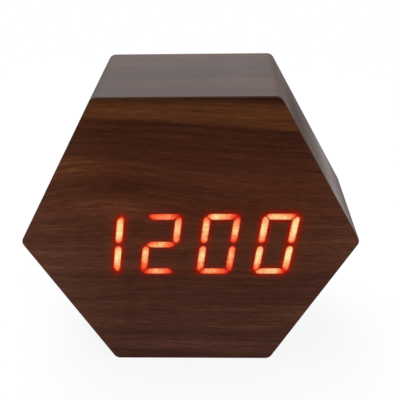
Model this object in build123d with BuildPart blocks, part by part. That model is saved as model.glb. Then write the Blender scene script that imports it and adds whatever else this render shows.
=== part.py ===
from build123d import *

import os
from math import cos, hypot, pi, radians, sin, sqrt, tan

# A hexagonal, wood-wrapped desk clock. A seven-segment display shines through the veneer of
# the front. Behind are a moulded back plate with three buttons, a power socket and a battery
# bay with its door. Millimetres, +Z up, the display faces -Y, and the origin is the middle of
# the face that the clock stands on.

os.makedirs("parts", exist_ok=True)

# Case
case_width = 100.0  # across the left and right corners, before they are rounded
case_height = 88.0  # across the top and bottom flats
top_edge = 50.0  # the top and bottom flats, between sharp corners
case_depth = 42.0
corner_radius = 2.4
veneer = 0.5
veneer_edge_chamfer = 0.3
seam_gap = 0.15
seam_from_corner = 4.0
wall = 6.0
cavity_radius = 3.0
front_board_depth = 6.0
rabbet_rim = 4.0  # of the board left outside the back plate
rabbet_radius = 2.6
ring_clearance = 0.4  # round what the back plate carries

# Display
digit_pitch = 16.9
segment_spacing = 8.7  # between the centre lines of a digit's left and right segments
segment_rise = 9.25  # from the centre line of the middle bar to that of the top bar
stroke = 1.9
segment_gap = 0.35
corner_cut = 0.9
middle_tip_gap = 0.45
digit_slant = 8.0  # degrees
display_drop = 0.75  # of the display's centre below the case's
colon_side = 1.9
colon_rise = 4.2
time_shown = ["one", "two", "zero", "zero"]
lit_bars = {
    "zero": "abcdef",
    "one": "bc",
    "two": "abdeg",
    "three": "abcdg",
    "four": "bcfg",
    "five": "acdfg",
    "six": "acdefg",
    "seven": "abc",
    "eight": "abcdefg",
    "nine": "abcdfg",
}
film_thickness = 0.3
guide_margin = 1.1
guide_radius = 1.0
window_clearance = 0.2
chip_gap = 0.4  # from a light-emitting chip to the diffuser over it
chip_length = 1.6
chip_width = 0.8
chip_height = 0.8
board_thickness = 1.6
display_board_length = 80.0
display_board_height = 34.0
board_clearance = 0.6

# Back plate
plate_recess = 1.5
plate_thickness = 2.4
plate_clearance = 0.2
plate_edge_chamfer = 0.4
plate_screw_inset = 7.4  # from the case's top and bottom flats
plate_screw_from_corner = 5.0  # along those flats
screw_land_width = 5.6
plate_screw_radius = 1.3
plate_screw_head_radius = 2.2
plate_screw_head_height = 1.2
plate_screw_length = 9.0
screw_clearance = 0.05
screw_tip_room = 0.6
cross_length = 2.6
cross_width = 0.6
cross_depth = 0.7

# Battery bay
cell_diameter = 10.5
cell_length = 44.5
nub_radius = 1.9
nub_length = 0.8
cell_pitch = 10.9
cell_count = 3
cell_side_clearance = 0.6
cell_clearance = 0.3
spring_room = 4.7
contact_thickness = 0.4
contact_width = 9.0
tag_width = 2.4
tag_reach = 1.6
tag_clearance = 0.2
bay_drop = 7.75  # of the bay's centre below the case's
bay_wall = 1.4
cradle_height = 3.0
cradle_clearance = 0.1
cradle_thickness = 1.5
cradle_spacing = 24.0

# Contact springs
wire_radius = 0.3
wire_sides = 5
spring_base_radius = 3.4
spring_tip_radius = 2.2
spring_half_turns = 5

# Battery door
door_thickness = 1.8
door_clearance = 0.25
door_ledge = 1.0
door_ledge_gap = 0.05
door_radius = 2.0
door_edge_chamfer = 0.3
grip_length = 14.0
grip_width = 1.0
grip_depth = 0.4
grip_pitch = 2.2
grip_count = 3
grip_from_edge = 7.0
hook_width = 6.0
hook_spacing = 30.0
hook_thickness = 1.1
hook_reach = 1.8
hook_gap = 0.35
hook_neck = 1.0
hook_neck_inset = 0.2
hook_swing_room = 0.9
latch_width = 8.0
latch_leg = 0.9
latch_gap = 1.3  # between the two legs of the sprung tongue
latch_inset = 0.35
latch_depth = 3.6
latch_catch = 0.6
latch_catch_ramp = 1.5
latch_catch_gap = 0.2
latch_clearance = 0.3
latch_pocket_room = 1.5
latch_pocket_floor_gap = 0.6
thumb_radius = 5.0
thumb_depth = 1.2

# Buttons, their switches and the control board
button_pitch = 10.0
first_button = -20.0  # seen from behind, to the right of the centre
button_radius = 3.25
button_clearance = 0.2
button_proud = 0.8
lug_length = 8.4
lug_height = 3.4
lug_thickness = 1.0
lug_gap = 0.2
stem_width = 3.0
stem_web = 0.9
stem_length = 1.5
touch_gap = 0.05
switch_side = 6.0
switch_height = 3.5
plunger_radius = 1.75
plunger_clearance = 0.1
plunger_proud = 1.5
plunger_seat_depth = 2.0
plunger_travel_room = 0.5
control_board_length = 56.0
control_board_clearance = 1.0
control_board_gap = 0.6  # above the pocket of the door's tongue
board_post_width = 1.5
board_post_height = 8.0
board_post_inset = 0.4
board_clip_gap = 0.1
board_clip_hook = 0.9
board_clip_lead_in = 1.4
board_clip_thickness = 1.2
board_clip_height = 5.0

# Power socket
jack_x = 10.0
jack_side = 8.0
jack_nose_radius = 3.2
jack_nose_clearance = 0.2
jack_nose_inset = 0.3
jack_bore_radius = 1.8
jack_bore_depth = 9.0
jack_pin_radius = 0.65
jack_pin_inset = 1.5

# Buzzer
buzzer_x = 20.0
buzzer_radius = 4.5
buzzer_height = 5.0
grille_radius = 3.6
grille_slot_width = 0.9
grille_slot_pitch = 1.8
grille_slot_count = 4

# Parts on the display board
controller_length = 12.0
controller_width = 7.6
controller_height = 2.4
controller_x = -14.0
controller_rise = -2.0
pin_width = 0.45
pin_pitch = 1.27
pin_reach = 1.3
pin_height = 0.8
pins_per_side = 8
crystal_radius = 1.0
crystal_length = 6.0
crystal_x = 3.5
crystal_rise = -2.0
capacitor_radius = 2.5
capacitor_height = 7.0
capacitor_x = 19.0
capacitor_rise = -6.0

# Wiring
header_length = 10.5
header_width = 4.4
header_height = 5.0
front_header_rise = 11.0
rear_header_inset = 4.5  # from the control board's upper edge
ribbon_width = 8.4
ribbon_thickness = 0.9
ribbon_bend_radius = 3.0
ribbon_run = 5.4
lead_radius = 0.6
lead_sides = 6
lead_bend_radius = 1.6
lead_run_gap = 3.6  # from the back of the bay to the middle of the leads that pass it
board_lead_inset = 1.5  # from the control board's lower edge to where the leads meet it
battery_lead_inset = 4.0

cut_overrun = 1.0

# Depths, from the front of the case to its rear
case_centre = case_height / 2
front_face = -case_depth / 2
board_front = front_face + veneer
board_back = board_front + front_board_depth
rear_face = case_depth / 2
ring_back = rear_face - veneer
plate_outer = rear_face - plate_recess
plate_inner = plate_outer - plate_thickness
door_inner = plate_outer - door_thickness
cell_axis = door_inner - cell_clearance - cell_diameter / 2
bay_floor = cell_axis - cell_diameter / 2 - cell_clearance
bay_back = bay_floor - bay_wall
guide_front = board_front + film_thickness
display_board_back = board_back + board_thickness
lug_outer = plate_inner - lug_gap
lug_inner = lug_outer - lug_thickness
plunger_top = lug_inner - stem_length - touch_gap
switch_top = plunger_top - plunger_proud
control_board_face = switch_top - switch_height
control_board_front = control_board_face - board_thickness

# Sizes that follow from those above
bay_length = cell_length + spring_room + 2 * contact_thickness
pilot_depth = plate_screw_length - plate_thickness + screw_tip_room
bay_height = (cell_count - 1) * cell_pitch + cell_diameter + 2 * cell_side_clearance
door_length = bay_length + 2 * door_ledge
door_height = bay_height + 2 * door_ledge
cavity_inset = veneer + wall
rabbet_inset = veneer + rabbet_rim
plate_inset = rabbet_inset + plate_clearance
plate_screw_x = top_edge / 2 - plate_screw_from_corner
plate_screw_z = case_height / 2 - plate_screw_inset
slant = tan(radians(digit_slant))
digit_centres = [digit_pitch * (i - (len(time_shown) - 1) / 2) for i in range(len(time_shown))]
guide_length = digit_centres[-1] - digit_centres[0] + segment_spacing + stroke + 2 * guide_margin
guide_length += 2 * segment_rise * slant
guide_height = 2 * segment_rise + stroke + 2 * guide_margin
plate_screw_spots = [
    (side * plate_screw_x, level * plate_screw_z) for side in (-1, 1) for level in (-1, 1)
]

# The battery bay's pieces are placed about its centre, as seen from behind
bay_rise = -bay_drop
bay_end = bay_length / 2
tray_length = bay_length + 2 * bay_wall
tray_height = bay_height + 2 * bay_wall
cell_levels = [cell_pitch * ((cell_count - 1) / 2 - i) for i in range(cell_count)]
outer_leg = door_height / 2 - door_ledge - latch_inset + latch_leg / 2 + latch_gap + latch_leg
inner_leg = outer_leg - latch_gap - latch_leg
bend_radius = (outer_leg - inner_leg) / 2
leg_bend = door_inner - latch_depth
latch_low = leg_bend - bend_radius - latch_leg / 2
latch_outer = outer_leg + latch_leg / 2
notch_edge = latch_outer + latch_clearance
pocket_top = latch_outer + latch_pocket_room
pocket_floor = latch_low - latch_pocket_floor_gap
hook_top = plate_inner - hook_gap
hook_low = hook_top - hook_thickness

# The control board fills the room between the tongue's pocket and the upper screws, and the
# buttons, the socket and the buzzer stand in a row across its middle
control_board_low = bay_rise + pocket_top + bay_wall + control_board_gap
control_board_high = plate_screw_z - screw_land_width / 2 - control_board_clearance
control_board_height = control_board_high - control_board_low
row_rise = control_board_low + control_board_height / 2
board_end = control_board_length / 2
post_outer = board_end - board_post_inset
post_rise = control_board_low + board_post_height / 2
clip_inner = board_end + board_clip_gap
clip_outer = clip_inner + board_clip_thickness
button_names = ["set", "up", "down"]
button_spots = [(first_button + i * button_pitch, row_rise) for i in range(len(button_names))]


def from_front(depth, rise=0):
    """A plane at a depth, seen from the front: x to the right, y up, its normal to the front."""
    return Plane(origin=(0, depth, case_centre + rise), x_dir=(1, 0, 0), z_dir=(0, -1, 0))


def from_behind(depth, rise=0):
    """A plane at a depth, seen from behind: x to the right, y up, its normal to the rear."""
    return Plane(origin=(0, depth, case_centre + rise), x_dir=(-1, 0, 0), z_dir=(0, 1, 0))


def from_above(rise):
    """A level plane: its x runs to the right and its y to the rear."""
    return Plane(origin=(0, 0, case_centre + rise), x_dir=(1, 0, 0), z_dir=(0, 0, 1))


def from_side(x=0, rise=0):
    """An upright plane across the case: its x runs to the rear and its y up."""
    return Plane(origin=(x, 0, case_centre + rise), x_dir=(0, 1, 0), z_dir=(1, 0, 0))


def write(builder, name):
    builder.part.label = name
    export_step(builder.part, f"parts/{name}.step")


def hexagon_corners(inset):
    """The corners of the case's outline, moved in from every side by the inset."""
    half_width = case_width / 2
    half_top = top_edge / 2
    half_height = case_height / 2
    run = half_width - half_top
    slope = hypot(run, half_height)
    side_x = half_width - inset * slope / half_height
    top_x = half_top - inset * (slope - run) / half_height
    top_z = half_height - inset
    right = [(top_x, -top_z), (side_x, 0), (top_x, top_z)]
    return right + [(-x, -z) for x, z in right]


def hexagon_slab(inset, radius, front, back, mode=Mode.ADD):
    """A slab with the case's outline between two depths, its corners rounded."""
    with BuildSketch(from_front(back)) as outline:
        Polygon(*hexagon_corners(inset), align=None)
        fillet(outline.vertices(), radius)
    extrude(outline.sketch, amount=back - front, mode=mode)


def bar_outline(bar):
    """One bar of a digit, upright, about the digit's centre."""
    side = segment_spacing / 2
    outer_x = side + stroke / 2
    outer_z = segment_rise + stroke / 2
    mitre = segment_gap / sqrt(2)
    half_cut = (corner_cut + mitre) / 2
    tip = middle_tip_gap - mitre
    if bar in "ad":
        right = [
            (outer_x - stroke - mitre, outer_z - stroke),
            (outer_x - half_cut, outer_z - corner_cut + half_cut),
            (outer_x - corner_cut, outer_z),
        ]
        points = right + [(-x, z) for x, z in reversed(right)]
    elif bar == "g":
        right = [
            (side - mitre - stroke / 2, -stroke / 2),
            (side - mitre, 0),
            (side - mitre - stroke / 2, stroke / 2),
        ]
        points = right + [(-x, z) for x, z in reversed(right)]
    else:
        points = [
            (side - tip, middle_tip_gap),
            (side + tip, middle_tip_gap),
            (outer_x, stroke / 2 + mitre),
            (outer_x, outer_z - corner_cut),
            (outer_x - corner_cut + half_cut, outer_z - half_cut),
            (outer_x - stroke, outer_z - stroke - mitre),
            (outer_x - stroke, stroke / 2 + mitre),
        ]
    if bar in "ef":
        points = [(-x, z) for x, z in reversed(points)]
    if bar in "cde":
        points = [(x, -z) for x, z in reversed(points)]
    return points


def bar_middle(bar):
    """The middle of one bar, before the digit is slanted."""
    x = {"b": 1, "c": 1, "e": -1, "f": -1}.get(bar, 0) * segment_spacing / 2
    z = {"a": 1, "b": 1 / 2, "f": 1 / 2, "c": -1 / 2, "e": -1 / 2, "d": -1}.get(bar, 0) * segment_rise
    return x, z


def slanted(points):
    return [(x + z * slant, z) for x, z in points]


def bars(wanted):
    """The outlines of all bars that are lit, or of all that are dark, with their digit's place."""
    found = []
    for place, figure in zip(digit_centres, time_shown):
        for bar in "abcdefg":
            if (bar in lit_bars[figure]) == wanted:
                found.append([(x + place, z) for x, z in slanted(bar_outline(bar))])
    return found


colon_spots = slanted([(0, colon_rise), (0, -colon_rise)])


def wire_lead(points, radius, bend):
    """An insulated wire along a path of straight runs and arcs."""
    with BuildLine() as route:
        FilletPolyline(*points, radius=bend)
    with BuildSketch(Plane(origin=route.line @ 0, z_dir=route.line % 0)) as section:
        RegularPolygon(radius, lead_sides)
    sweep(section.sketch, path=route.line)


# The front sheet of veneer
with BuildPart() as front_veneer:
    hexagon_slab(0, corner_radius, front_face, board_front)
    chamfer(front_veneer.faces().sort_by(Axis.Y)[0].edges(), veneer_edge_chamfer)
write(front_veneer, "front_veneer")

# The strip of veneer around the sides, with its butt seam underneath
with BuildPart() as side_veneer:
    hexagon_slab(0, corner_radius, board_front, ring_back)
    hexagon_slab(veneer, corner_radius - veneer, board_front, ring_back, Mode.SUBTRACT)
    with BuildSketch(from_front(ring_back)):
        with Locations((top_edge / 2 - seam_from_corner, -case_height / 2)):
            Rectangle(seam_gap, 2 * (veneer + cut_overrun))
    extrude(amount=ring_back - board_front, mode=Mode.SUBTRACT)
write(side_veneer, "side_veneer")

# The frame of veneer around the back plate
with BuildPart() as rear_veneer:
    hexagon_slab(0, corner_radius, ring_back, rear_face)
    hexagon_slab(rabbet_inset, rabbet_radius, ring_back, rear_face, Mode.SUBTRACT)
    chamfer(rear_veneer.faces().sort_by(Axis.Y)[-1].outer_wire().edges(), veneer_edge_chamfer)
write(rear_veneer, "rear_veneer")

# The fibreboard front, with the display's window
with BuildPart() as front_board:
    hexagon_slab(veneer, corner_radius - veneer, board_front, board_back)
    with BuildSketch(from_front(board_back, -display_drop)):
        RectangleRounded(
            guide_length + 2 * window_clearance,
            guide_height + 2 * window_clearance,
            guide_radius + window_clearance,
        )
    extrude(amount=front_board_depth, mode=Mode.SUBTRACT)
write(front_board, "front_board")

# The fibreboard ring, rabbeted for the back plate, with a land for each of its screws, and
# milled out wherever the tray, the posts or the clips of that plate would come too near
with BuildPart() as case_ring:
    hexagon_slab(veneer, corner_radius - veneer, board_back, ring_back)
    with BuildSketch(from_front(ring_back)) as cavity:
        Polygon(*hexagon_corners(cavity_inset), align=None)
        fillet(cavity.vertices(), cavity_radius)
        with Locations(*plate_screw_spots):
            Rectangle(screw_land_width, screw_land_width, mode=Mode.SUBTRACT)
        for rise, half_length, height in (
            (bay_rise, tray_length / 2, tray_height),
            (post_rise, post_outer, board_post_height),
            (post_rise, clip_outer, board_clip_height),
        ):
            with Locations((0, rise)):
                Rectangle(2 * (half_length + ring_clearance), height + 2 * ring_clearance)
    extrude(amount=ring_back - board_back, mode=Mode.SUBTRACT)
    hexagon_slab(rabbet_inset, rabbet_radius, plate_inner, ring_back, Mode.SUBTRACT)
    with Locations(from_behind(plate_inner)):
        with Locations(*plate_screw_spots):
            Hole(plate_screw_radius + screw_clearance, depth=pilot_depth)
write(case_ring, "case_ring")

# The film that softens the light, between the display and the veneer
with BuildPart() as diffuser_film:
    with BuildSketch(from_front(guide_front, -display_drop)):
        RectangleRounded(guide_length, guide_height, guide_radius)
    extrude(amount=film_thickness)
write(diffuser_film, "diffuser_film")

# The light guide: a white block with a slanted well for every bar and colon dot
with BuildPart() as light_guide:
    with BuildSketch(from_front(board_back, -display_drop)):
        RectangleRounded(guide_length, guide_height, guide_radius)
    extrude(amount=board_back - guide_front)
    with BuildSketch(from_front(board_back, -display_drop)):
        for outline in bars(True) + bars(False):
            Polygon(*outline, align=None)
        with Locations(*colon_spots):
            Rectangle(colon_side, colon_side)
    extrude(amount=board_back - guide_front, mode=Mode.SUBTRACT)
write(light_guide, "light_guide")

# The clear fillings of the wells, which end short of the chips behind them
filling_back = board_back - chip_height - chip_gap
for name, wanted in (("lit_bars", True), ("dark_bars", False)):
    with BuildPart() as fillings:
        with BuildSketch(from_front(filling_back, -display_drop)):
            for outline in bars(wanted):
                Polygon(*outline, align=None)
        extrude(amount=filling_back - guide_front)
    write(fillings, name)

with BuildPart() as colon_dots:
    with BuildSketch(from_front(filling_back, -display_drop)):
        with Locations(*colon_spots):
            Rectangle(colon_side, colon_side)
    extrude(amount=filling_back - guide_front)
write(colon_dots, "colon_dots")

# A light-emitting chip behind every bar, along it, and behind each colon dot
with BuildPart() as light_chips:
    with BuildSketch(from_front(board_back, -display_drop)):
        for place in digit_centres:
            for bar in "abcdefg":
                x, z = slanted([bar_middle(bar)])[0]
                with Locations((x + place, z)):
                    if bar in "adg":
                        Rectangle(chip_length, chip_width)
                    else:
                        Rectangle(chip_width, chip_length)
        with Locations(*colon_spots):
            Rectangle(chip_width, chip_width)
    extrude(amount=chip_height)
write(light_chips, "light_chips")

# The display board, cut to the shape of the cavity
with BuildPart() as display_board:
    with BuildSketch(from_front(display_board_back)):
        with Locations((0, -display_drop)):
            Rectangle(display_board_length, display_board_height)
        Polygon(
            *hexagon_corners(cavity_inset + board_clearance), align=None, mode=Mode.INTERSECT
        )
    extrude(amount=board_thickness)
write(display_board, "display_board")

# The controller, with a row of pins along each long side
with BuildPart() as controller_chip:
    with BuildSketch(from_behind(display_board_back, controller_rise)):
        with Locations((-controller_x, 0)):
            Rectangle(controller_length, controller_width)
    extrude(amount=controller_height)
    with BuildSketch(from_behind(display_board_back, controller_rise)):
        with Locations((-controller_x, 0)):
            with GridLocations(pin_pitch, 0, pins_per_side, 1):
                Rectangle(pin_width, controller_width + 2 * pin_reach)
    extrude(amount=pin_height)
write(controller_chip, "controller_chip")

# The clock crystal's can, lying on the board
with BuildPart() as crystal:
    with Locations(
        Plane(
            origin=(
                crystal_x,
                display_board_back + crystal_radius,
                case_centre + crystal_rise,
            ),
            z_dir=(1, 0, 0),
        )
    ):
        Cylinder(crystal_radius, crystal_length)
write(crystal, "crystal")

# The smoothing capacitor, standing on the board
with BuildPart() as capacitor:
    with BuildSketch(from_behind(display_board_back, capacitor_rise)):
        with Locations((-capacitor_x, 0)):
            Circle(capacitor_radius)
    extrude(amount=capacitor_height)
write(capacitor, "capacitor")

# The moulded back plate
with BuildPart() as back_plate:
    hexagon_slab(plate_inset, rabbet_radius - plate_clearance, plate_inner, plate_outer)
    chamfer(back_plate.faces().sort_by(Axis.Y)[-1].edges(), plate_edge_chamfer)

    # The tray that holds the cells, and the pocket for the door's sprung tongue
    with BuildSketch(from_behind(plate_inner, bay_rise)):
        Rectangle(tray_length, tray_height)
    extrude(amount=bay_back - plate_inner)
    with BuildSketch(from_behind(plate_inner, bay_rise)):
        with Locations((0, bay_height / 2)):
            Rectangle(
                latch_width + 2 * (latch_clearance + bay_wall),
                pocket_top + bay_wall - bay_height / 2,
                align=(Align.CENTER, Align.MIN),
            )
    extrude(amount=pocket_floor - bay_wall - plate_inner)

    # A post behind each end of the control board, and a clip that snaps round its edge
    clip_catch = control_board_front - board_clip_gap
    clip_outline = [
        (clip_inner, plate_inner),
        (clip_outer, plate_inner),
        (clip_outer, clip_catch - board_clip_lead_in),
        (clip_inner, clip_catch - board_clip_lead_in),
        (clip_inner - board_clip_hook, clip_catch),
        (clip_inner, clip_catch),
    ]
    for side in (-1, 1):
        with BuildSketch(from_behind(plate_inner, post_rise)):
            with Locations((side * (post_outer - board_post_width / 2), 0)):
                Rectangle(board_post_width, board_post_height)
        extrude(amount=control_board_face - plate_inner)
        with BuildSketch(from_above(post_rise)):
            Polygon(*[(side * x, y) for x, y in clip_outline], align=None)
        extrude(amount=board_clip_height / 2, both=True)

    # The recess of the door, the room for the cells and for the tongue, and the thumb scoop
    with BuildSketch(from_behind(plate_outer, bay_rise)):
        RectangleRounded(
            door_length + 2 * door_clearance,
            door_height + 2 * door_clearance,
            door_radius + door_clearance,
        )
    extrude(amount=-(door_thickness + door_ledge_gap), mode=Mode.SUBTRACT)
    with BuildSketch(from_behind(plate_outer, bay_rise)):
        Rectangle(bay_length, bay_height)
    extrude(amount=bay_floor - plate_outer, mode=Mode.SUBTRACT)
    with BuildSketch(from_behind(plate_inner, bay_rise)):
        with Locations((0, bay_height / 2 - bay_wall)):
            Rectangle(
                latch_width + 2 * latch_clearance,
                pocket_top - bay_height / 2 + bay_wall,
                align=(Align.CENTER, Align.MIN),
            )
    extrude(amount=pocket_floor - plate_inner, mode=Mode.SUBTRACT)
    with BuildSketch(from_behind(plate_outer, bay_rise)):
        with Locations((0, bay_height / 2 - bay_wall)):
            Rectangle(
                latch_width + 2 * latch_clearance,
                notch_edge - bay_height / 2 + bay_wall,
                align=(Align.CENTER, Align.MIN),
            )
    extrude(amount=-(plate_thickness + cut_overrun), mode=Mode.SUBTRACT)
    with BuildSketch(from_behind(plate_outer, bay_rise)):
        with Locations((0, notch_edge)):
            Circle(thumb_radius)
            Rectangle(
                2 * (thumb_radius + cut_overrun),
                thumb_radius + cut_overrun,
                align=(Align.CENTER, Align.MAX),
                mode=Mode.SUBTRACT,
            )
    extrude(amount=-thumb_depth, mode=Mode.SUBTRACT)

    # A cradle rib across the floor at each end of the cells
    for side in (-1, 1):
        with BuildSketch(from_side(side * cradle_spacing / 2, bay_rise)):
            with Locations((bay_floor, 0)):
                Rectangle(cradle_height, bay_height, align=(Align.MIN, Align.CENTER))
            with Locations(*[(cell_axis, level) for level in cell_levels]):
                Circle(cell_diameter / 2 + cradle_clearance, mode=Mode.SUBTRACT)
        extrude(amount=cradle_thickness / 2, both=True)

    # Windows for the door's hooks, and slots for the tags of the two end contacts
    with BuildSketch(from_behind(plate_inner, bay_rise)):
        with GridLocations(hook_spacing, 0, 2, 1):
            with Locations((0, -bay_height / 2 + cut_overrun)):
                Rectangle(
                    hook_width + 2 * door_clearance,
                    bay_wall + 2 * cut_overrun,
                    align=(Align.CENTER, Align.MAX),
                )
    extrude(amount=hook_low - hook_swing_room - plate_inner, mode=Mode.SUBTRACT)
    with BuildSketch(from_behind(bay_floor, bay_rise)):
        for side, level in ((-1, cell_levels[0]), (1, cell_levels[-1])):
            with Locations((side * (bay_end - contact_thickness / 2), level)):
                Rectangle(
                    contact_thickness + 2 * tag_clearance, tag_width + 2 * tag_clearance
                )
    extrude(amount=-(bay_wall + cut_overrun), mode=Mode.SUBTRACT)

    # Holes for the buttons, the socket and the screws, and the slots of the buzzer's grille
    with BuildSketch(from_behind(plate_outer)):
        with Locations(*button_spots):
            Circle(button_radius + button_clearance)
        with Locations((jack_x, row_rise)):
            Circle(jack_nose_radius + jack_nose_clearance)
    extrude(amount=-plate_thickness, mode=Mode.SUBTRACT)
    with BuildSketch(from_behind(plate_outer)):
        with Locations((buzzer_x, row_rise)):
            with GridLocations(grille_slot_pitch, 0, grille_slot_count, 1):
                Rectangle(grille_slot_width, 2 * grille_radius)
            Circle(grille_radius, mode=Mode.INTERSECT)
    extrude(amount=-plate_thickness, mode=Mode.SUBTRACT)
    with Locations(from_behind(plate_outer)):
        with Locations(*plate_screw_spots):
            Hole(plate_screw_radius + screw_clearance, depth=plate_thickness)
write(back_plate, "back_plate")

# The cross-headed screws of the back plate
with BuildPart() as plate_screw:
    Cylinder(
        plate_screw_head_radius,
        plate_screw_head_height,
        align=(Align.CENTER, Align.CENTER, Align.MIN),
    )
    Cylinder(
        plate_screw_radius,
        plate_screw_length,
        align=(Align.CENTER, Align.CENTER, Align.MAX),
    )
    with BuildSketch(Plane.XY.offset(plate_screw_head_height)):
        Rectangle(cross_length, cross_width)
        Rectangle(cross_width, cross_length)
    extrude(amount=-cross_depth, mode=Mode.SUBTRACT)

with BuildPart() as plate_screws:
    with Locations(from_behind(plate_outer)):
        with Locations(*plate_screw_spots):
            add(plate_screw.part)
write(plate_screws, "plate_screws")

# The battery door with its two hooks
with BuildPart() as battery_door:
    with BuildSketch(from_behind(plate_outer, bay_rise)):
        RectangleRounded(door_length, door_height, door_radius)
    extrude(amount=-door_thickness)
    chamfer(battery_door.faces().sort_by(Axis.Y)[-1].edges(), door_edge_chamfer)
    with BuildSketch(from_behind(plate_outer, bay_rise)):
        with Locations((0, door_height / 2 - grip_from_edge)):
            with GridLocations(0, grip_pitch, 1, grip_count):
                Rectangle(grip_length, grip_width)
    extrude(amount=-grip_depth, mode=Mode.SUBTRACT)
    for side in (-1, 1):
        neck_low = -bay_height / 2 + hook_neck_inset
        with BuildSketch(from_side(side * hook_spacing / 2, bay_rise)):
            with Locations((hook_low, neck_low)):
                Rectangle(door_inner - hook_low, hook_neck, align=(Align.MIN, Align.MIN))
            with Locations((hook_low, -door_height / 2 - hook_reach)):
                Rectangle(
                    hook_thickness,
                    neck_low + hook_neck + door_height / 2 + hook_reach,
                    align=(Align.MIN, Align.MIN),
                )
        extrude(amount=hook_width / 2, both=True)
write(battery_door, "battery_door")

# The door's sprung tongue: two legs joined by a bend, with a catch under the plate's edge
with BuildPart() as door_latch:
    with BuildSketch(from_side(0, bay_rise)):
        with BuildLine():
            Line((door_inner, inner_leg), (leg_bend, inner_leg))
            ThreePointArc(
                (leg_bend, inner_leg),
                (leg_bend - bend_radius, (inner_leg + outer_leg) / 2),
                (leg_bend, outer_leg),
            )
            Line((leg_bend, outer_leg), (plate_outer, outer_leg))
        trace(line_width=latch_leg)
        with BuildLine():
            Polyline(
                (plate_inner - latch_catch_gap, latch_outer),
                (plate_inner - latch_catch_gap, latch_outer + latch_catch),
                (plate_inner - latch_catch_gap - latch_catch_ramp, latch_outer),
                close=True,
            )
        make_face()
    extrude(amount=latch_width / 2, both=True)
write(door_latch, "door_latch")


def cell_plane(level, side, along):
    """A plane square to a cell's axis, towards one end of the bay: its normal leaves that end
    and its y is up."""
    return Plane(
        origin=(side * along, cell_axis, case_centre + bay_rise + level),
        x_dir=(0, -side, 0),
        z_dir=(-side, 0, 0),
    )


def battery_cell(level, side):
    """A cell whose nub meets the contact at one side of the bay."""
    nub_end = bay_end - contact_thickness
    with BuildPart() as cell:
        with BuildSketch(cell_plane(level, side, nub_end - nub_length)):
            Circle(cell_diameter / 2)
        extrude(amount=cell_length - nub_length)
        with BuildSketch(cell_plane(level, side, nub_end - nub_length)):
            Circle(nub_radius)
        extrude(amount=-nub_length)
    return cell


polarity = [1 if i % 2 == 0 else -1 for i in range(cell_count)]
for i, (level, side) in enumerate(zip(cell_levels, polarity)):
    write(battery_cell(level, side), f"cell_{i + 1}")


def contact_plate(side, levels, tag_level=None):
    """A contact plate against one end of the bay, across one cell or two, with a solder tag
    where the wiring leaves."""
    with BuildPart() as contact:
        middle = sum(levels) / len(levels)
        with BuildSketch(cell_plane(middle, side, bay_end)):
            Rectangle(contact_width, contact_width + max(levels) - min(levels))
        extrude(amount=contact_thickness)
        if tag_level is not None:
            with BuildSketch(from_behind(cell_axis, bay_rise)):
                with Locations((-side * (bay_end - contact_thickness / 2), tag_level)):
                    Rectangle(contact_thickness, tag_width)
            extrude(amount=bay_back - tag_reach - cell_axis)
    return contact


def spring_point(half_turns):
    """A point on the wire's centre line and its direction there, some half turns from its base."""
    share = half_turns / spring_half_turns
    radius = spring_base_radius + share * (spring_tip_radius - spring_base_radius)
    angle = pi * half_turns
    rise = spring_room - touch_gap - 2 * wire_radius
    point = Vector(radius * cos(angle), radius * sin(angle), wire_radius + share * rise)
    slope = (spring_tip_radius - spring_base_radius) / spring_half_turns
    turning = pi * radius
    direction = Vector(
        slope * cos(angle) - turning * sin(angle),
        slope * sin(angle) + turning * cos(angle),
        rise / spring_half_turns,
    )
    return point, direction.normalized()


def biarc(start, start_direction, end, end_direction):
    """Two arcs that meet smoothly, from one point and direction to another."""
    across = end - start
    both = start_direction + end_direction
    bend = 2 * (1 - start_direction.dot(end_direction))
    along = across.dot(both)
    reach = (sqrt(along * along + bend * across.dot(across)) - along) / bend
    joint = (start + end + (start_direction - end_direction) * reach) / 2
    joint_direction = (end - end_direction * reach) - (start + start_direction * reach)
    TangentArc(start, joint, tangent=start_direction)
    TangentArc(joint, end, tangent=joint_direction)


def least_spring_gap():
    """The least clear space between turns of the wire, from points along it."""
    steps = 24
    points = [spring_point(i / steps)[0] for i in range(spring_half_turns * steps + 1)]
    near = [(a - b).length for i, a in enumerate(points) for b in points[i + steps :]]
    return min(near) - 2 * wire_radius


# A conical contact spring: one wire, wound from its wide base to its tip
with BuildPart() as contact_spring:
    with BuildLine() as winding:
        for i in range(spring_half_turns):
            biarc(*spring_point(i), *spring_point(i + 1))
    with BuildSketch(Plane(origin=winding.line @ 0, z_dir=winding.line % 0)):
        RegularPolygon(wire_radius, wire_sides)
    sweep()
print("least gap between the turns of a contact spring:", round(least_spring_gap(), 2), "mm")

write(contact_plate(1, cell_levels[:1], cell_levels[0]), "positive_contact")
write(contact_plate(-1, cell_levels[:2]), "link_contact_upper")
write(contact_plate(1, cell_levels[1:]), "link_contact_lower")
write(contact_plate(-1, cell_levels[2:], cell_levels[2]), "negative_contact")
for i, (level, side) in enumerate(zip(cell_levels, polarity)):
    with BuildPart() as placed_spring:
        with Locations(cell_plane(level, -side, bay_end - contact_thickness)):
            add(contact_spring.part)
    write(placed_spring, f"contact_spring_{i + 1}")

# The control board, cut to the shape of the cavity and held by the plate's posts and clips
with BuildPart() as control_board:
    with BuildSketch(from_behind(control_board_face)):
        with Locations((0, row_rise)):
            Rectangle(control_board_length, control_board_height)
        Polygon(
            *hexagon_corners(cavity_inset + control_board_clearance),
            align=None,
            mode=Mode.INTERSECT,
        )
    extrude(amount=-board_thickness)
write(control_board, "control_board")

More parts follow.
